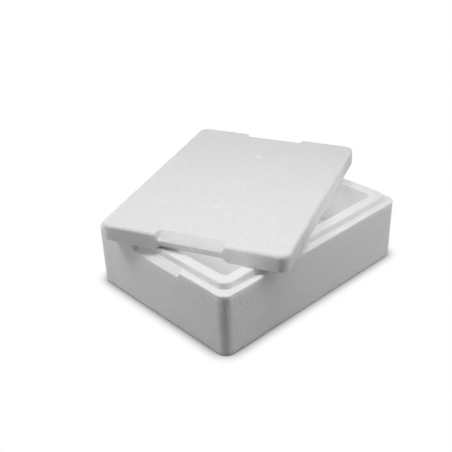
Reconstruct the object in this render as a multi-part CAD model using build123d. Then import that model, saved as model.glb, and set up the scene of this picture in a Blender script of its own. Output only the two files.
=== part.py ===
from build123d import *
import math
import os

# A moulded foam box with a raised lip round its mouth, and its loose lid laid askew across that lip.
# Millimetres, Z up. The origin is the middle of the box's underside, and X runs along the box's length.

# Box
BOX_LENGTH = 400.0
BOX_WIDTH = 300.0
RIM_HEIGHT = 104.0  # from the underside up to the seat for the closed lid
CORNER_RADIUS = 16.0  # upright corners, the lid's too
WALL_THICKNESS = 30.0  # at the mouth
FLOOR_THICKNESS = 30.0
RIM_EDGE_RADIUS = 1.5  # along the outer edge of the seat
BASE_EDGE_RADIUS = 2.0

# Lip that stands up inside the seat
RIM_WIDTH = 12.5  # seat between the box's outer face and the lip's top
LIP_HEIGHT = 10.0
LIP_DRAFT = 0.4  # how far the lip's foot stands out beyond its top
LIP_CORNER_RADIUS = 15.0
LIP_EDGE_RADIUS = 1.2

# Cavity
CAVITY_CORNER_RADIUS = 10.0
CAVITY_DRAFT = 2.5  # how far each wall leans in between the mouth and the floor
CAVITY_FLOOR_RADIUS = 6.0

# Finger notch in the middle of each short side, sloping down from the lip's foot to the outer face
NOTCH_WIDTH = 100.0
NOTCH_DEPTH = 10.0  # at the outer face
NOTCH_FLARE = 8.5  # how far each end leans outwards over that depth

# Lid
LID_THICKNESS = 28.0
LID_TOP_RADIUS = 6.0
LID_FOOT_RADIUS = 1.0
LIP_CLEARANCE = 0.5  # between the lip and the lid's recess, beside it and above it

# Grip in the middle of each short side of the lid, sloping down from the top to the outer face
GRIP_WIDTH = 102.0
GRIP_INSET = 15.0  # from the outer face to the top of the slope
GRIP_DEPTH = 12.0  # at the outer face
GRIP_FLARE = 5.0  # how far each end leans outwards over that depth

# Round mould marks on the lid's long centre line
MARK_DIAMETER = 17.0
MARK_DEPTH = 0.8
MARK_PLACE_SHARES = (-0.23, 0.26)  # of the lid's length, from its middle

# How the lid lies on the lip
LID_TURN = 24.6  # degrees, seen from above
LID_SHIFT_LENGTHWAYS = 12.5
LID_SHIFT_SIDEWAYS = 38.3

CUT_OVERRUN = 20.0  # how far every cutter runs past the face that it opens

LIP_TOP = RIM_HEIGHT + LIP_HEIGHT
LIP_FOOT_INSET = RIM_WIDTH - LIP_DRAFT
SKIRT_WIDTH = LIP_FOOT_INSET - LIP_CLEARANCE
RECESS_DEPTH = LIP_HEIGHT + LIP_CLEARANCE


def outline(inset, radius, height):
    """The box's plan with rounded corners, drawn in from its outer faces, at a height."""
    plan = RectangleRounded(BOX_LENGTH - 2 * inset, BOX_WIDTH - 2 * inset, radius)
    return Pos(0, 0, height) * plan


def drafted(plan, rise, draft):
    """A plan drawn straight up, or down where rise is below zero, its sides leaning in by draft over the rise."""
    return extrude(plan, rise, taper=math.degrees(math.atan2(draft, abs(rise))))


def edges_at(solid, height):
    """The edges of a solid that lie flat at a height."""
    return solid.edges().filter_by_position(Axis.Z, height, height)


def sloped_cutter(width, flare, run, depth):
    """A wedge-shaped cut that starts at the origin and falls by depth over its run along X.

    Its floor is flat and as wide as width, and its ends lean outwards by flare over the depth.
    """
    reach = (run + CUT_OVERRUN) / run
    rise = depth * reach
    half_floor = width / 2
    half_top = half_floor + flare * reach
    section = Polyline(
        (-half_floor, 0),
        (half_floor, 0),
        (half_top, rise),
        (-half_top, rise),
        close=True,
    )
    slope = Vector(run, 0, -depth)
    return extrude(Plane.YZ * make_face(section), amount=slope.length * reach, dir=slope.normalized())


def cut_both_ends(solid, cutter, start_inset, height, upside_down=False):
    """Take a sloped cut out of the middle of each short side."""
    turned = Rot(180, 0, 0) * cutter if upside_down else cutter
    placed = Pos(BOX_LENGTH / 2 - start_inset, 0, height) * turned
    return solid - placed - Rot(0, 0, 180) * placed


def make_cavity():
    """The space inside the box, narrower at the floor than at the mouth."""
    mouth = outline(WALL_THICKNESS, CAVITY_CORNER_RADIUS, LIP_TOP)
    space = drafted(mouth, FLOOR_THICKNESS - LIP_TOP, CAVITY_DRAFT)
    return fillet(edges_at(space, FLOOR_THICKNESS), CAVITY_FLOOR_RADIUS)


def make_box():
    """Body with its seat, the lip on top of it, the cavity through both and a notch at each end."""
    body = extrude(outline(0, CORNER_RADIUS, 0), RIM_HEIGHT)
    body = fillet(edges_at(body, RIM_HEIGHT), RIM_EDGE_RADIUS)
    body = fillet(edges_at(body, 0), BASE_EDGE_RADIUS)
    lip_foot = outline(LIP_FOOT_INSET, LIP_CORNER_RADIUS + LIP_DRAFT, RIM_HEIGHT)
    box = body + drafted(lip_foot, LIP_HEIGHT, LIP_DRAFT) - make_cavity()
    box = fillet(edges_at(box, LIP_TOP), LIP_EDGE_RADIUS)
    notch = sloped_cutter(NOTCH_WIDTH, NOTCH_FLARE, LIP_FOOT_INSET, NOTCH_DEPTH)
    return cut_both_ends(box, notch, LIP_FOOT_INSET, RIM_HEIGHT)


def make_lid():
    """Slab with a recess under it for the lip, grips at both ends and two mould marks on top."""
    slab = extrude(outline(0, CORNER_RADIUS, 0), LID_THICKNESS)
    slab = fillet(edges_at(slab, LID_THICKNESS), LID_TOP_RADIUS)
    slab = fillet(edges_at(slab, 0), LID_FOOT_RADIUS)
    recess_mouth = outline(SKIRT_WIDTH, LIP_CORNER_RADIUS + LIP_DRAFT + LIP_CLEARANCE, 0)
    lid = slab - drafted(recess_mouth, RECESS_DEPTH, LIP_DRAFT)
    grip = sloped_cutter(GRIP_WIDTH, GRIP_FLARE, GRIP_INSET, GRIP_DEPTH)
    lid = cut_both_ends(lid, grip, GRIP_INSET, LID_THICKNESS)
    finger_gap = sloped_cutter(NOTCH_WIDTH, NOTCH_FLARE, SKIRT_WIDTH, NOTCH_DEPTH)
    lid = cut_both_ends(lid, finger_gap, SKIRT_WIDTH, 0, upside_down=True)
    for share in MARK_PLACE_SHARES:
        mark = Pos(share * BOX_LENGTH, 0, LID_THICKNESS - MARK_DEPTH) * Circle(MARK_DIAMETER / 2)
        lid -= extrude(mark, MARK_DEPTH + CUT_OVERRUN)
    return lid


box = make_box()
lid_place = Pos(LID_SHIFT_LENGTHWAYS, LID_SHIFT_SIDEWAYS, LIP_TOP) * Rot(0, 0, LID_TURN)
lid = lid_place * make_lid()

os.makedirs("parts", exist_ok=True)
export_step(box, "parts/box.step")
export_step(lid, "parts/lid.step")
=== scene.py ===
# %% [markdown]
# # A moulded foam box, with its lid laid askew
#
# The real object is two mouldings of white bead foam. Small beads of plastic are blown into a metal mould and
# steamed until they swell and weld together, so every surface is flat and matte, every edge is a little soft,
# and the pressed beads still show as a faint mosaic. This lesson models the two pieces by hand, over the
# measured frame that the first cell loads, and then finishes, lights and photographs them.

# %% Load the measured frame
import math

import bmesh
import bpy
from mathutils import Matrix, Vector


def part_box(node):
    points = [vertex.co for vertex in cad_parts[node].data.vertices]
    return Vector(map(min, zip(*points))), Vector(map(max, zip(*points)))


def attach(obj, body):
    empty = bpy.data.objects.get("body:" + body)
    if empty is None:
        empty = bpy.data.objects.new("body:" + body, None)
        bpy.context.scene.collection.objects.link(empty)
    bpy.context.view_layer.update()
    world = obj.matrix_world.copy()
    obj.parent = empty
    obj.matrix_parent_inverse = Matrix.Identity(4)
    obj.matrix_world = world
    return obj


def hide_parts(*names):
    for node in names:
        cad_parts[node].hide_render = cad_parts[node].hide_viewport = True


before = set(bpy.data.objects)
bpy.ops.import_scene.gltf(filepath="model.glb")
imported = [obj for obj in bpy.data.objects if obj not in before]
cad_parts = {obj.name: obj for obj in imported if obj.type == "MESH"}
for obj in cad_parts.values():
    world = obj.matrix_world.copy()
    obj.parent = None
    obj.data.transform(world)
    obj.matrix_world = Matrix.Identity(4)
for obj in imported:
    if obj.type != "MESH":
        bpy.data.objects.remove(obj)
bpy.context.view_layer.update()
MM = 0.001  # the frame is in metres, and the sizes of the foam below are given in millimetres
box_low, box_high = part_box("box")
lid_low, lid_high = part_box("lid")
print("box from", [round(x, 4) for x in box_low], "to", [round(x, 4) for x in box_high])
print("lid from", [round(x, 4) for x in lid_low], "to", [round(x, 4) for x in lid_high])

# %% [markdown]
# ## The camera
#
# The picture looks down on one corner of the box through a fairly long lens. The camera could be dragged
# about until the outlines agree, but the straight edges of a box fix it much better, so its angles, distance
# and lens are values that were fitted to those edges. It is placed by three directions at right angles:
# right, up and back towards the camera.

# %% Camera
PICTURE_SIDE = 452  # pixels
FOCAL_PIXELS = 728.3  # the lens, as its distance to a picture of that many pixels
CAMERA_TURN = math.radians(-42.743)  # round the box, from looking along its width
CAMERA_TILT = math.radians(29.788)  # above the table
CAMERA_ROLL = math.radians(-1.834)
CAMERA_DISTANCE = 1222.3 * MM
AIM_HEIGHT = 60 * MM  # the point that the camera is aimed from, up the middle of the box
AIM_RIGHT = -39.49 * MM
AIM_UP = 14.34 * MM


def make_camera():
    """A camera at the picture's own angle, with its axes worked out and set as a matrix."""
    flat = math.cos(CAMERA_TILT)
    back = Vector((math.sin(CAMERA_TURN) * flat, -math.cos(CAMERA_TURN) * flat, math.sin(CAMERA_TILT)))
    level = Vector((math.cos(CAMERA_TURN), math.sin(CAMERA_TURN), 0))
    upright = back.cross(level)
    right = math.cos(CAMERA_ROLL) * level + math.sin(CAMERA_ROLL) * upright
    up = math.cos(CAMERA_ROLL) * upright - math.sin(CAMERA_ROLL) * level
    place = Vector((0, 0, AIM_HEIGHT)) + AIM_RIGHT * right + AIM_UP * up + CAMERA_DISTANCE * back
    lens = bpy.data.cameras.new("camera")
    lens.sensor_fit = "HORIZONTAL"
    lens.lens = lens.sensor_width * FOCAL_PIXELS / PICTURE_SIDE
    camera = bpy.data.objects.new("camera", lens)
    turn = Matrix((right, up, back)).transposed().to_4x4()
    camera.matrix_world = Matrix.Translation(place) @ turn
    bpy.context.scene.collection.objects.link(camera)
    bpy.context.scene.camera = camera
    return camera


camera = make_camera()
print("camera at", [round(x, 3) for x in camera.location], "lens", round(camera.data.lens, 2), "mm")

# %% [markdown]
# ## Tools for the hand
#
# Operators act on whatever is selected. At the desk one would click on edges and faces; in a script they are
# picked by their place. `pick` selects what passes a test and nothing else, and a few small tests say things
# like "upright edge" or "flat at this height".

# %% Picking by place
NEAR = 0.02 * MM  # how close two places have to be to count as the same
SHARP = math.radians(30)


def rest_hands():
    """Leave edit mode and let go of everything."""
    if bpy.context.object and bpy.context.object.mode != "OBJECT":
        bpy.ops.object.mode_set(mode="OBJECT")
    bpy.ops.object.select_all(action="DESELECT")


def take(piece, mode="EDIT"):
    """Make a piece the only one selected, and open it for modelling."""
    rest_hands()
    piece.select_set(True)
    bpy.context.view_layer.objects.active = piece
    bpy.ops.object.mode_set(mode=mode)


def pick(kind, test):
    """Select the verts, edges or faces of the open piece that pass a test, and nothing else."""
    bpy.context.tool_settings.mesh_select_mode = [kind == "verts", kind == "edges", kind == "faces"]
    bpy.ops.mesh.select_all(action="DESELECT")
    mesh = bmesh.from_edit_mesh(bpy.context.object.data)
    chosen = [part for part in getattr(mesh, kind) if test(part)]
    for part in chosen:
        part.select_set(True)
    mesh.select_flush_mode()
    bmesh.update_edit_mesh(bpy.context.object.data)
    return len(chosen)


def upright(edge):
    """True for an edge that runs straight up."""
    a, b = (vert.co for vert in edge.verts)
    return (a - b).xy.length < NEAR


def flat_at(height):
    """A test for edges or faces that lie flat at a height."""
    return lambda part: all(abs(vert.co.z - height) < NEAR for vert in part.verts)


def folded(edge):
    """True for an edge where the surface turns sharply, and not for the steps of a round corner."""
    return edge.calc_face_angle(0) > SHARP


def fold_at(height):
    """A test for the sharp edges that lie flat at a height."""
    level = flat_at(height)
    return lambda edge: level(edge) and folded(edge)


print("tools ready")

# %% [markdown]
# ## The rounded block
#
# Everything on this object starts as a block with four rounded upright corners: the body, the lip, the space
# inside, the lid and the recess under it. So one helper adds a cube at its size, and bevels its upright edges
# into quarter rounds. All blocks get the same number of steps in each corner, and so the same number of
# points round the edge, which is what lets one be bridged neatly to another later.

# %% Rounded block
CORNER_STEPS = 12


def rounded_block(name, size, low, high, radius, draft=0.0, hollow=False):
    """A block with rounded upright corners, whose far end is smaller all round by a draft.

    A hollow one is turned inside out, so that its faces look into the space that it stands for.
    """
    length, width = size
    rest_hands()
    middle = (low + high) / 2
    bpy.ops.mesh.primitive_cube_add(size=1, location=(0, 0, middle), scale=(length, width, abs(high - low)))
    bpy.ops.object.transform_apply(location=True, rotation=True, scale=True)
    block = bpy.context.object
    block.name = name
    take(block)
    pick("edges", upright)
    bpy.ops.mesh.bevel(offset=radius, segments=CORNER_STEPS, affect="EDGES")
    pick("faces", flat_at(high))
    shrink = (1 - 2 * draft / length, 1 - 2 * draft / width, 1)
    bpy.ops.transform.resize(value=shrink, center_override=(0, 0, high))
    if hollow:
        bpy.ops.mesh.select_all(action="SELECT")
        bpy.ops.mesh.flip_normals()
    rest_hands()
    print(name, len(block.data.vertices), "points")
    return block


# %% [markdown]
# ## The box's body, lip and cavity
#
# On the real box the body, the raised lip round its mouth and the hollow are one moulding. Insetting the top
# face would give the lip the wrong corners, because they are rounder than an inset of the body would be. So
# the lip and the hollow are blocks of their own, joined to the body in one mesh. The faces where they meet
# are deleted, and bridging the open rims gives the flat seat and the top of the lip.

# %% Box: three blocks bridged into one
BOX_SIZE = (box_high - box_low).xy
LIP_TOP = box_high.z
LIP_HEIGHT = 10 * MM
RIM_HEIGHT = LIP_TOP - LIP_HEIGHT
CORNER_RADIUS = 16 * MM
LIP_FOOT_INSET = 12.1 * MM  # from the outer face
LIP_CORNER_RADIUS = 15.4 * MM
LIP_DRAFT = 0.4 * MM
WALL_THICKNESS = 30 * MM
FLOOR_HEIGHT = 30 * MM
CAVITY_CORNER_RADIUS = 10 * MM
CAVITY_DRAFT = 2.5 * MM


def inset_size(inset):
    """The box's length and width, drawn in all round."""
    return tuple(side - 2 * inset for side in BOX_SIZE)


def join(first, *others):
    """Put several blocks into one mesh."""
    rest_hands()
    for piece in (first, *others):
        piece.select_set(True)
    bpy.context.view_layer.objects.active = first
    bpy.ops.object.join()
    return first


def open_and_bridge(height):
    """Delete the faces that lie at a height, and bridge the two rims that this leaves there."""
    pick("faces", flat_at(height))
    bpy.ops.mesh.delete(type="ONLY_FACE")
    pick("edges", flat_at(height))
    bpy.ops.mesh.bridge_edge_loops()


body = rounded_block("foam_box", BOX_SIZE, 0, RIM_HEIGHT, CORNER_RADIUS)
lip = rounded_block("lip", inset_size(LIP_FOOT_INSET), RIM_HEIGHT, LIP_TOP, LIP_CORNER_RADIUS, LIP_DRAFT)
cavity = rounded_block(
    "cavity",
    inset_size(WALL_THICKNESS),
    LIP_TOP,
    FLOOR_HEIGHT,
    CAVITY_CORNER_RADIUS,
    CAVITY_DRAFT,
    hollow=True,
)
foam_box = join(body, lip, cavity)
take(foam_box)
for height in (RIM_HEIGHT, LIP_TOP):
    open_and_bridge(height)
rest_hands()
print("foam_box", len(foam_box.data.polygons), "faces")

# %% [markdown]
# ## Soft edges
#
# A mould for foam has no knife edges: beads don't fill them, and the piece wouldn't come out. Each edge is
# rounded by a bevel while the mesh is still simple. The foot of the cavity has a wide round, and the other
# edges have small ones, also in the inner corner where the lip stands on its seat.

# %% Box: soft edges
EDGE_STEPS = 4
CAVITY_FLOOR_RADIUS = 6 * MM
LIP_EDGE_RADIUS = 1.2 * MM
RIM_EDGE_RADIUS = 1.5 * MM
LIP_FOOT_RADIUS = 0.5 * MM
BASE_EDGE_RADIUS = 1.2 * MM
PLUMB = 0.001  # how far a wall's facing may tip for it to count as upright, less than the lip's does


def soften(test, radius, steps=EDGE_STEPS):
    """Round the edges of the open piece that pass a test."""
    count = pick("edges", test)
    bpy.ops.mesh.bevel(offset=radius, segments=steps, affect="EDGES")
    return count


def beside_wall(edge):
    """True for an edge that borders a face of the body's own upright walls."""
    return any(abs(face.normal.z) < PLUMB for face in edge.link_faces)


take(foam_box)
for height, radius in (
    (FLOOR_HEIGHT, CAVITY_FLOOR_RADIUS),
    (LIP_TOP, LIP_EDGE_RADIUS),
    (0, BASE_EDGE_RADIUS),
):
    print("softened", soften(fold_at(height), radius), "edges at", round(height, 3))
rim = fold_at(RIM_HEIGHT)
print("softened", soften(lambda edge: rim(edge) and beside_wall(edge), RIM_EDGE_RADIUS), "edges of the rim")
print("softened", soften(rim, LIP_FOOT_RADIUS), "edges at the lip's foot")
rest_hands()

# %% [markdown]
# ## The finger notches
#
# In the middle of each short side the seat falls away towards the outside, so that fingertips can get under
# the lid. In a mould this is a wedge, and here it is one too: a plane is drawn as the notch's end view, its
# top edge is widened so that the ends lean outwards, and it is extruded down the slope. A Boolean modifier
# then takes it out of the foam at both ends of the piece.

# %% Wedges that cut both ends
OVERRUN = 20 * MM  # how far a cutter runs past the face that it opens


def wedge(width, flare, run, depth):
    """A cutter that starts at the origin and falls by depth over its run along X, with leaning ends."""
    reach = (run + OVERRUN) / run
    rise = depth * reach
    rest_hands()
    end_on = (math.pi / 2, 0, math.pi / 2)
    bpy.ops.mesh.primitive_plane_add(size=1, location=(0, 0, rise / 2), rotation=end_on)
    cutter = bpy.context.object
    cutter.scale = (width, rise, 1)
    bpy.ops.object.transform_apply(location=True, rotation=True, scale=True)
    take(cutter)
    pick("verts", lambda vert: vert.co.z > rise / 2)
    bpy.ops.transform.resize(value=(1, 1 + 2 * flare * reach / width, 1), center_override=(0, 0, rise))
    bpy.ops.mesh.select_all(action="SELECT")
    down_slope = (run * reach, 0, -depth * reach)
    bpy.ops.mesh.extrude_region_move(TRANSFORM_OT_translate={"value": down_slope})
    bpy.ops.mesh.select_all(action="SELECT")
    bpy.ops.mesh.normals_make_consistent(inside=False)
    rest_hands()
    return cutter


def carve(piece, cutter):
    """Take a cutter out of a piece."""
    take(piece, "OBJECT")
    cut = piece.modifiers.new("cut", "BOOLEAN")
    cut.object = cutter
    cut.operation = "DIFFERENCE"
    cut.solver = "EXACT"
    bpy.ops.object.modifier_apply(modifier=cut.name)


def carve_ends(piece, cutter, inset, height, tip=0.0):
    """Take a cutter out of the middle of both short sides, tipped over where it cuts from below."""
    for half_turn in (0.0, math.pi):
        cutter.matrix_world = (
            Matrix.Rotation(half_turn, 4, "Z")
            @ Matrix.Translation((BOX_SIZE.x / 2 - inset, 0, height))
            @ Matrix.Rotation(tip, 4, "X")
        )
        bpy.context.view_layer.update()
        carve(piece, cutter)
    bpy.data.objects.remove(cutter)
    print(piece.name, len(piece.data.polygons), "faces after the cuts")


NOTCH_WIDTH = 100 * MM
NOTCH_FLARE = 8.5 * MM
NOTCH_DEPTH = 10 * MM
NOTCH_LEDGE = 0.8 * MM  # flat left between a rounded edge and the top of a notch
notch_run = LIP_FOOT_INSET - LIP_FOOT_RADIUS - NOTCH_LEDGE
carve_ends(foam_box, wedge(NOTCH_WIDTH, NOTCH_FLARE, notch_run, NOTCH_DEPTH), notch_run, RIM_HEIGHT)

# %% [markdown]
# ## The lid
#
# The lid has the box's own plan. Its underside is hollowed so that it drops over the lip, and its top edge
# has a wide soft round. It is made flat and square at the middle of the frame, by the same tools as the box,
# and laid in its place at the end.

# %% Lid: slab, recess and soft edges
LID_THICKNESS = lid_high.z - lid_low.z
LIP_CLEARANCE = 0.5 * MM
SKIRT_WIDTH = LIP_FOOT_INSET - LIP_CLEARANCE
RECESS_DEPTH = LIP_HEIGHT + LIP_CLEARANCE
RECESS_CORNER_RADIUS = LIP_CORNER_RADIUS + LIP_CLEARANCE
LID_TOP_RADIUS = 6 * MM
LID_FOOT_RADIUS = 1 * MM
LID_TOP_STEPS = 8

slab = rounded_block("foam_lid", BOX_SIZE, 0, LID_THICKNESS, CORNER_RADIUS)
recess = rounded_block(
    "recess", inset_size(SKIRT_WIDTH), 0, RECESS_DEPTH, RECESS_CORNER_RADIUS, LIP_DRAFT, hollow=True
)
foam_lid = join(slab, recess)
take(foam_lid)
open_and_bridge(0)
print("softened", soften(fold_at(LID_THICKNESS), LID_TOP_RADIUS, LID_TOP_STEPS), "edges of the top")
for height in (0, RECESS_DEPTH):
    print("softened", soften(fold_at(height), LID_FOOT_RADIUS), "edges at", round(height, 4))
rest_hands()

# %% [markdown]
# ## The mould marks
#
# Where two parts of the mould met the lid, to fill it or to push it out, round marks are left on its long
# middle line: a small faint one towards one end and a wider one towards the other. They could be painted on,
# but they are shallow dishes, and a low side light shows their rims. So a disc with many sides is sunk into
# the top by the same Boolean cut. Their rims are the only sharp folds of the lid so far, so they can be
# picked by that alone, and each gets a small round of its own.

# %% Lid: mould marks
MARK_EDGE_RADIUS = 0.15 * MM
MARK_SIDES = 64
# place along the lid as a share of its length from the middle, radius, depth, and how white it is pressed
MARKS = (
    (-0.23, 6.5 * MM, 0.35 * MM, 0.35),
    (0.26, 8.5 * MM, 0.8 * MM, 1.0),
)

for share, radius, depth, _ in MARKS:
    rest_hands()
    bpy.ops.mesh.primitive_cylinder_add(
        vertices=MARK_SIDES,
        radius=radius,
        depth=OVERRUN,
        location=(share * BOX_SIZE.x, 0, LID_THICKNESS - depth + OVERRUN / 2),
    )
    punch = bpy.context.object
    carve(foam_lid, punch)
    bpy.data.objects.remove(punch)
take(foam_lid)
print("softened", soften(folded, MARK_EDGE_RADIUS), "edges of the marks")
rest_hands()

# %% [markdown]
# ## The grips
#
# The wedge from the box's notches serves again. One pair falls away from the top of the lid, where the thumbs
# press, and one pair is tipped over and cut from below, where the fingers lift.

# %% Lid: grips
GRIP_WIDTH = 102 * MM
GRIP_FLARE = 5 * MM
GRIP_INSET = 15 * MM
GRIP_DEPTH = 12 * MM
carve_ends(foam_lid, wedge(GRIP_WIDTH, GRIP_FLARE, GRIP_INSET, GRIP_DEPTH), GRIP_INSET, LID_THICKNESS)
gap_run = SKIRT_WIDTH - LID_FOOT_RADIUS - NOTCH_LEDGE
carve_ends(foam_lid, wedge(NOTCH_WIDTH, NOTCH_FLARE, gap_run, NOTCH_DEPTH), gap_run, 0, tip=math.pi)

# %% [markdown]
# ## The last edges
#
# The cuts have left sharp edges round the notches and the grips. They are the only folds left that are
# sharper than the steps of a round. A small bevel takes the sharpness off, as the beads do. Then each face
# gets smooth shading, weighted by area, so that wide flats stay flat and only the rounds look round.

# %% Soften the cuts and shade
CUT_EDGE_RADIUS = 0.5 * MM
CUT_EDGE_STEPS = 2
FLAT_WEIGHT = 100  # how much the wide faces decide the shading


def finish_edges(piece):
    """Round what is still sharp, and shade the piece smooth with its flats kept flat."""
    take(piece)
    count = soften(folded, CUT_EDGE_RADIUS, CUT_EDGE_STEPS)
    take(piece, "OBJECT")
    bpy.ops.object.shade_smooth()
    weights = piece.modifiers.new("flats", "WEIGHTED_NORMAL")
    weights.weight = FLAT_WEIGHT
    bpy.ops.object.modifier_apply(modifier=weights.name)
    print(piece.name, count, "edges softened,", len(piece.data.polygons), "faces")


finish_edges(foam_box)
finish_edges(foam_lid)

# %% [markdown]
# ## The lid in its place
#
# In the picture the lid has been lifted off and put back askew, so that it lies flat on the lip and its
# corners stand out over the sides. It could be turned by hand in the viewport, but the frame knows where it
# lies, so its middle comes from there and only its turn is a value. Applying the transform puts the place
# into the mesh, and the object itself stays at the origin, unturned.

# %% Lid: laid askew
LID_TURN = math.radians(24.6)  # seen from above

lid_middle = (lid_low + lid_high) / 2
lid_place = Matrix.Translation((lid_middle.x, lid_middle.y, lid_low.z)) @ Matrix.Rotation(LID_TURN, 4, "Z")
foam_lid.matrix_world = lid_place
take(foam_lid, "OBJECT")
bpy.ops.object.transform_apply(location=True, rotation=True, scale=True)
print("lid turned by", round(math.degrees(LID_TURN), 1), "degrees")
print("its middle is at", [round(x, 4) for x in lid_middle])

# %% [markdown]
# ## Sums on wires
#
# A material is a web of nodes joined by wires, and each wire could be dragged by hand. Most of those nodes
# only add or multiply, so here a small class holds a wire and lets Python's own signs do it: `1 - seam` adds
# the Math node that takes the seam from one. One method adds every other kind of node.

# %% Wire
class Wire:
    """An output in a web of nodes. A sum on wires adds its Math nodes to the web."""

    def __init__(self, web, socket=None):
        self.web = web
        self.socket = socket

    def node(self, kind, settings=None, sockets=None, out=0):
        """Add a node, and give one of its outputs.

        Its settings come first, then the values or wires of its sockets.
        """
        made = self.web.nodes.new(kind)
        for name, value in (settings or {}).items():
            setattr(made, name, value)
        for name, value in (sockets or {}).items():
            if isinstance(value, Wire):
                self.web.links.new(value.socket, made.inputs[name])
            else:
                made.inputs[name].default_value = value
        return Wire(self.web, made.outputs[out] if made.outputs else None)

    def other(self, out):
        """Another output of the node that this wire comes from."""
        return Wire(self.web, self.socket.node.outputs[out])

    def sum(self, operation, first, second):
        """The Math node of an operation on two wires or numbers."""
        return self.node("ShaderNodeMath", {"operation": operation}, {0: first, 1: second})

    def __add__(self, value):
        return self.sum("ADD", self, value)

    def __sub__(self, value):
        return self.sum("SUBTRACT", self, value)

    def __rsub__(self, value):
        return self.sum("SUBTRACT", value, self)

    def __mul__(self, value):
        return self.sum("MULTIPLY", self, value)

    def __pow__(self, value):
        return self.sum("POWER", self, value)

    __radd__ = __add__
    __rmul__ = __mul__

    def step(self, low, high):
        """A soft step from 0 to 1, as this wire goes from low to high."""
        span = {"Value": self, "From Min": low, "From Max": high}
        return self.node("ShaderNodeMapRange", {"interpolation_type": "SMOOTHSTEP"}, span)

    def mix(self, first, second):
        """A colour that goes from first to second, as this wire goes from 0 to 1."""
        colours = {"Factor": self, 6: first, 7: second}
        return self.node("ShaderNodeMix", {"data_type": "RGBA"}, colours, out=2)


def open_web(owner):
    """Clear the nodes of a material or a world, and give a bare wire to start its new ones from."""
    owner.use_nodes = True
    owner.node_tree.nodes.clear()
    return Wire(owner.node_tree)


print("wires ready")

# %% [markdown]
# ## The foam
#
# Bead foam is white and matte, and never quite even. Each bead has swollen flat against the mould and against
# its neighbours, so the surface is a mosaic of low domes a few millimetres across. A fine sunken seam runs
# round each one, pits are left where the beads didn't quite meet, every bead has its own white, and a few are
# shinier than the rest. The beads could be modelled, but they are far too many, so a Voronoi texture in space
# draws them: its cells are the beads, and the distance to the nearest border gives the seam. A little noise
# makes the borders wander. It is read in Object coordinates, so the mosaic runs through the foam, round every
# edge and into the notches.

# %% Foam: beads, seams and pits
BEAD_SIZE = 4.2 * MM
WANDER_SIZE = 3 * MM
WANDER_REACH = 1.4 * MM
SEAM_SHARE = 0.16  # of a bead, from its border in
PIT_SHARES = (0.03, 0.11)  # where the side of a pit begins and ends, from the border in
PIT_GAPS = (0.56, 0.66)  # the heights of a noise between which pits appear


def noise(place, size, detail=2.0):
    """An even noise whose blobs are about as wide as a size."""
    return place.node("ShaderNodeTexNoise", {}, {"Vector": place, "Scale": 1 / size, "Detail": detail})


def bead_mosaic(place):
    """Each place's bead, as a wire with its own colour, and how deep the place is in a seam or a pit."""
    wander = noise(place, WANDER_SIZE).other("Color")
    shift = {0: wander, 1: (WANDER_REACH,) * 3, 2: place}
    astray = place.node("ShaderNodeVectorMath", {"operation": "MULTIPLY_ADD"}, shift)
    grid = {"Vector": astray, "Scale": 1 / BEAD_SIZE}
    bead = place.node("ShaderNodeTexVoronoi", {"feature": "F1"}, grid, out="Color")
    border = place.node("ShaderNodeTexVoronoi", {"feature": "DISTANCE_TO_EDGE"}, grid, out="Distance")
    seam = 1 - border.step(0, SEAM_SHARE)
    gaps = noise(place, 2 * BEAD_SIZE).step(*PIT_GAPS)
    pit = (1 - border.step(*PIT_SHARES)) * gaps
    return bead, seam, pit


print("beads", round(BEAD_SIZE / MM, 1), "mm wide")

# %% [markdown]
# ## Places that differ
#
# Two places differ from the rest of the foam. The lid's round marks were pressed by metal, so they are whiter
# and smoother. The inside of the box, right up to the edge of its mouth, is painted a touch greyer and
# greener
# than the outside: painted shade, for the shade that falls inside under the lid. Picked faces could have
# materials of their own, but a mask worked out from Object coordinates keeps all the foam in one material:
# the distance from the middle of a mark gives one, and the length, width and height of the space inside give
# the other.

# %% Foam: masks for the marks and the painted shade inside
MARK_RIM = (0.88, 1.02)  # where a mark's white begins to fade and where it ends, as shares of its radius
MOUTH_STEP = 0.5 * MM
FLOOR_FADE = (FLOOR_HEIGHT / 3, FLOOR_HEIGHT / 2)  # within the thickness of the floor, where it isn't seen


def pressed_places(place, marks):
    """How white each place is pressed, by round marks that each have a middle, a radius and a strength."""
    pressed = 0
    for middle, radius, strength in marks:
        ends = {0: place, 1: middle}
        away = place.node("ShaderNodeVectorMath", {"operation": "DISTANCE"}, ends, out="Value")
        pressed = pressed + strength * (1 - away.step(*(share * radius for share in MARK_RIM)))
    return pressed


def below(wire, limit):
    """1 up to a limit and 0 a short step beyond it."""
    return 1 - wire.step(limit, limit + MOUTH_STEP)


def painted_shade_inside(place):
    """1 in the space inside the box, where the foam gets painted shade, and 0 outside it, on its lip and on
    its underside.
    """
    from_middle = place.node("ShaderNodeVectorMath", {"operation": "ABSOLUTE"}, {0: place})
    lengthways = place.node("ShaderNodeSeparateXYZ", {}, {"Vector": from_middle}, out="X")
    widthways, height = lengthways.other("Y"), lengthways.other("Z")
    half_length, half_width = (side / 2 for side in inset_size(WALL_THICKNESS))
    in_plan = below(lengthways, half_length) * below(widthways, half_width)
    in_height = below(height, LIP_TOP - LIP_EDGE_RADIUS) * height.step(*FLOOR_FADE)
    return in_plan * in_height


print("masks ready")
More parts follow.
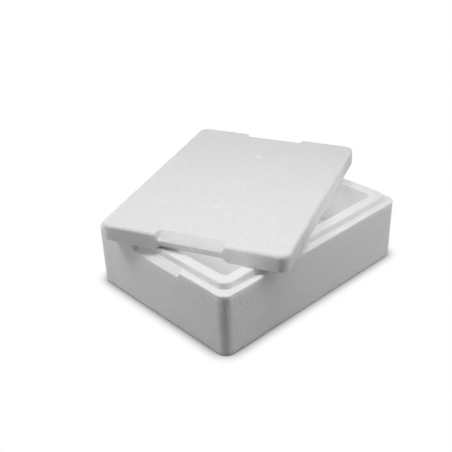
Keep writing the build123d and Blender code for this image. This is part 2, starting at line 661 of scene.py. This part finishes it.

# %% [markdown]
# ## The skin of the foam
#
# Each bead's colour in the texture is three chance numbers. One sets its white, one its shine and one how far
# it stands out. A shiny bead is smoother, and it is also painted a little lighter, as a painted glint. Light
# also wanders a little way into foam and comes out beside the place where it went in, which softens the shade
# at every edge. Subsurface scattering does that, with the same reach for all three colours.

# %% Foam: the material
GRAIN_SIZE = 0.7 * MM
GRAIN_DETAIL = 3.0
PATCH_SIZE = 28 * MM  # broad uneven patches, from the way the beads packed
SHINE_POWER = 5  # the higher, the fewer beads are shiny
# Shiny beads are also painted lighter: a painted glint, beside their real lower roughness.
BASE_LIGHT, TONE_LIGHT, PAINTED_GLINT_LIGHT, PATCH_LIGHT = 0.55, 0.3, 0.2, 0.3  # between the two whites
# Seams are the darker joints between beads. Pits are sunk in the relief and also painted darker, as painted
# shade in their hollows.
SEAM_SHADE, PIT_SHADE = 0.22, 0.3
BASE_ROUGH, SEAM_ROUGH = 0.62, 0.16
SHINE_SMOOTH, MARK_SMOOTH = 0.32, 0.15
LEVEL_RISE, DOME_RISE, GRAIN_RISE = 0.5, 0.6, 0.35  # shares of the relief
SEAM_SINK, PIT_SINK = 0.8, 0.5
SKIN_GLOSS = 0.5
RELIEF = 0.3 * MM
RELIEF_STRENGTH = 0.8
GLOW_REACH = 8 * MM  # how far light wanders inside the foam
MARK_WHITE = (0.985, 0.987, 0.988, 1)


def bead_foam(name, whites, shaded_inner_whites=None, marks=()):
    """White bead foam. Each pair of whites is that of its dullest and its brightest beads. The inner pair, if
    given, is painted shade on the inside of the box.
    """
    material = bpy.data.materials.new(name)
    bench = open_web(material)
    place = bench.node("ShaderNodeTexCoord", out="Object")
    bead, seam, pit = bead_mosaic(place)
    tone = bench.node("ShaderNodeSeparateColor", {}, {"Color": bead}, out="Red")
    shine_and_glint = tone.other("Green") ** SHINE_POWER
    level = tone.other("Blue")
    dome = 1 - bead.other("Distance") ** 2
    grain = noise(place, GRAIN_SIZE, GRAIN_DETAIL)
    patch = noise(place, PATCH_SIZE)
    # shiny beads are painted lighter here, a painted glint
    light = BASE_LIGHT + TONE_LIGHT * tone + PAINTED_GLINT_LIGHT * shine_and_glint + PATCH_LIGHT * patch
    # darker seams, and pits painted darker as painted shade
    light = light - SEAM_SHADE * seam - PIT_SHADE * pit
    colour = light.mix(*whites)
    rough = BASE_ROUGH - SHINE_SMOOTH * shine_and_glint + SEAM_ROUGH * seam
    height = LEVEL_RISE * level + DOME_RISE * dome + GRAIN_RISE * grain - SEAM_SINK * seam - PIT_SINK * pit
    # Inside the box the foam is painted greyer and greener: painted shade, for the shade under the lid.
    if shaded_inner_whites:
        colour = painted_shade_inside(place).mix(colour, light.mix(*shaded_inner_whites))
    if marks:
        pressed = pressed_places(place, marks)
        colour = pressed.mix(colour, MARK_WHITE)
        rough = rough - MARK_SMOOTH * pressed
    bump = {"Strength": RELIEF_STRENGTH, "Distance": RELIEF, "Height": height}
    relief = bench.node("ShaderNodeBump", {}, bump)
    skin = {"Base Color": colour, "Roughness": rough, "Normal": relief, "Specular IOR Level": SKIN_GLOSS}
    glow = {"Subsurface Weight": 1.0, "Subsurface Radius": (1, 1, 1), "Subsurface Scale": GLOW_REACH}
    shader = bench.node("ShaderNodeBsdfPrincipled", {}, {**skin, **glow})
    bench.node("ShaderNodeOutputMaterial", {}, {"Surface": shader})
    print(name, len(material.node_tree.nodes), "nodes")
    return material


# %% [markdown]
# ## Foam on the pieces
#
# Both pieces are the same foam. The lid is given greyer whites than the outside of the box, so it comes out a
# touch darker, and each piece has a pair of whites of its own.

# %% Foam: on the two pieces
BOX_WHITES = ((0.88, 0.882, 0.883, 1), (0.975, 0.977, 0.978, 1))  # dullest and brightest beads
# painted shade: greyer and greener whites for the inside of the box, dullest and brightest beads
SHADED_INSIDE_WHITES = ((0.722, 0.726, 0.718, 1), (0.8, 0.804, 0.796, 1))
LID_WHITES = ((0.762, 0.764, 0.765, 1), (0.852, 0.854, 0.855, 1))

pressed_marks = [
    (lid_place @ Vector((share * BOX_SIZE.x, 0, LID_THICKNESS - depth)), radius, white)
    for share, radius, depth, white in MARKS
]
for piece, finish in (
    (foam_box, bead_foam("box_foam", BOX_WHITES, shaded_inner_whites=SHADED_INSIDE_WHITES)),
    (foam_lid, bead_foam("lid_foam", LID_WHITES, marks=pressed_marks)),
):
    piece.data.materials.clear()
    piece.data.materials.append(finish)
    print(piece.name, "is made of", finish.name)

# %% [markdown]
# ## The floor
#
# The picture has a white ground, with nothing on it but a short dark shadow where the box stands. In a studio
# this is a white board, lit until it is white everywhere. So much light would spoil the shade on the foam, so
# here the floor does two things. To the light that bounces it is a grey board, which lights the sides no more
# than the picture's floor does. To the camera it shines plain white, less the shadow close round the foot of
# the box. That shadow comes from an Ambient Occlusion node, which tells how much of the sky above a place is
# hidden nearby.

# %% Floor
FLOOR_SIDE = 12  # metres
FLOOR_GREY = (0.35, 0.35, 0.35, 1)
WHITE = (1, 1, 1, 1)
SHADOW_REACH = 22 * MM
SHADOW_DEPTH = 1.85
SHADOW_CURVE = 1.5
SHADOW_SAMPLES = 16


def seen(bench):
    """1 for what the camera sees, straight or by way of gloss or glass, and 0 for light on its way."""
    camera_ray = bench.node("ShaderNodeLightPath", out="Is Camera Ray")
    return camera_ray + camera_ray.other("Is Glossy Ray") + camera_ray.other("Is Transmission Ray")


rest_hands()
bpy.ops.mesh.primitive_plane_add(size=FLOOR_SIDE, location=(0, 0, 0))
floor = bpy.context.object
floor.name = "floor"
board = bpy.data.materials.new("board")
bench = open_web(board)
nearby = {"Distance": SHADOW_REACH}
open_sky = bench.node("ShaderNodeAmbientOcclusion", {"samples": SHADOW_SAMPLES}, nearby, out="AO")
shade = SHADOW_DEPTH * (1 - open_sky) ** SHADOW_CURVE
left_over = bench.node("ShaderNodeMath", {"operation": "SUBTRACT", "use_clamp": True}, {0: 1.0, 1: shade})
sight = bench.node("ShaderNodeEmission", {}, {"Color": WHITE, "Strength": left_over})
bounce = bench.node("ShaderNodeBsdfDiffuse", {}, {"Color": FLOOR_GREY})
surface = bench.node("ShaderNodeMixShader", {}, {0: seen(bench), 1: bounce, 2: sight})
bench.node("ShaderNodeOutputMaterial", {}, {"Surface": surface})
floor.data.materials.append(board)
print("floor", FLOOR_SIDE, "m wide")

# %% [markdown]
# ## The lamps
#
# White foam shows its shape only by shade, so the light does most of the work. The picture has a soft lamp
# right above, which makes the flats bright and the near ones brightest, and lamps at both sides, which open
# up the two faces but leave the corner between them dark. A weak one behind lights the far sides. The lamps
# could be set by their places in the frame, but here they are placed from the camera's own direction, as a
# photographer would say it: so far round to the left or right, and so high.

# %% Lamps
LAMP_WHITE = (0.985, 0.988, 1.0)  # daylight lamps, a trace cool
OVER_TURN = 17  # degrees
OVER_FORWARD = 0.28  # metres from the middle of the box
OVER_HEIGHT = 0.95
OVER_SIDE = 0.4
OVER_WATTS = 2.85
SIDE_LAMPS = (  # turn and tilt in degrees, distance and side in metres, power in watts
    ("left", -80, 55, 1.6, 0.6, 10.0),
    ("left_low", -85, 4, 1.2, 0.16, 2.4),
    ("right", 75, 50, 3.0, 1.1, 16.0),
    ("right_side", 90, 30, 3.0, 1.1, 8.8),
    ("right_low", 88, 4, 1.2, 0.16, 2.3),
    ("back", 180, 12, 1.8, 0.8, 3.0),
)


def studio_lamp(name, place, aim, side, watts):
    """A square soft lamp at a place, turned to face another."""
    light = bpy.data.lights.new(name, "AREA")
    light.shape = "SQUARE"
    light.size = side
    light.energy = watts
    light.color = LAMP_WHITE
    lamp = bpy.data.objects.new(name, light)
    facing = (aim - place).to_track_quat("-Z", "Y").to_matrix().to_4x4()
    lamp.matrix_world = Matrix.Translation(place) @ facing
    lamp.visible_camera = False
    bpy.context.scene.collection.objects.link(lamp)
    print("lamp", name, watts, "W")


def round_about(turn, tilt, distance):
    """A way from the box, turned from the camera's direction, + to the right, and tilted up."""
    angle = CAMERA_TURN + math.radians(turn)
    flat = math.cos(math.radians(tilt)) * distance
    rise = math.sin(math.radians(tilt)) * distance
    return Vector((math.sin(angle) * flat, -math.cos(angle) * flat, rise))


above = round_about(OVER_TURN, 0, OVER_FORWARD) + Vector((0, 0, OVER_HEIGHT))
studio_lamp("over", above, above * Vector((1, 1, 0)), OVER_SIDE, OVER_WATTS)
middle = Vector((0, 0, AIM_HEIGHT))
for name, turn, tilt, distance, side, watts in SIDE_LAMPS:
    studio_lamp(name, middle + round_about(turn, tilt, distance), middle, side, watts)

# %% [markdown]
# ## The glow inside
#
# Foam lets light through, and in the picture the inside of the box is nearly as bright as the outside.
# Following the light through walls so thick would take very long, so two weak panels stand for it. One under
# the lid looks down, and one over the floor of the box looks up at the lid's underside, which spreads its
# light over the walls. A small card on the near corner of the lip stands for the light that the lip throws
# back at the lid's front.

# %% Glow inside
GLOWS = (  # place in millimetres, the way it looks, side in millimetres, power in watts
    ("glow_down", (8, -2, 112), (0, 0, -1), 215, 0.071),
    ("glow_up", (18, -8, 33), (0, 0, 1), 220, 0.115),
    ("card", (-185, -135, 118), (0.245, 0.112, 1), 20, 0.009),
)

for name, place, way, side, watts in GLOWS:
    spot = Vector(place) * MM
    studio_lamp(name, spot, spot + Vector(way), side * MM, watts)

# %% [markdown]
# ## The surroundings
#
# Beyond the floor the picture is plain white. The world is white to the camera and dark to everything else,
# so that the lamps alone light the foam. The plain view transform shows each colour as it is written.

# %% Surroundings
world = bpy.data.worlds.new("studio")
bpy.context.scene.world = world
bench = open_web(world)
sky = bench.node("ShaderNodeBackground", {}, {"Color": WHITE, "Strength": seen(bench)})
bench.node("ShaderNodeOutputWorld", {}, {"Surface": sky})
bpy.context.scene.view_settings.view_transform = "Standard"
print("surroundings white")

# %% [markdown]
# ## Handing over
#
# The two pieces take the places of the frame's own solids. Each rides on the one rigid body, replaces its
# solid and is made of the foam.

# %% Hand over
for piece, node in ((foam_box, "box"), (foam_lid, "lid")):
    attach(piece, "root")
    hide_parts(node)
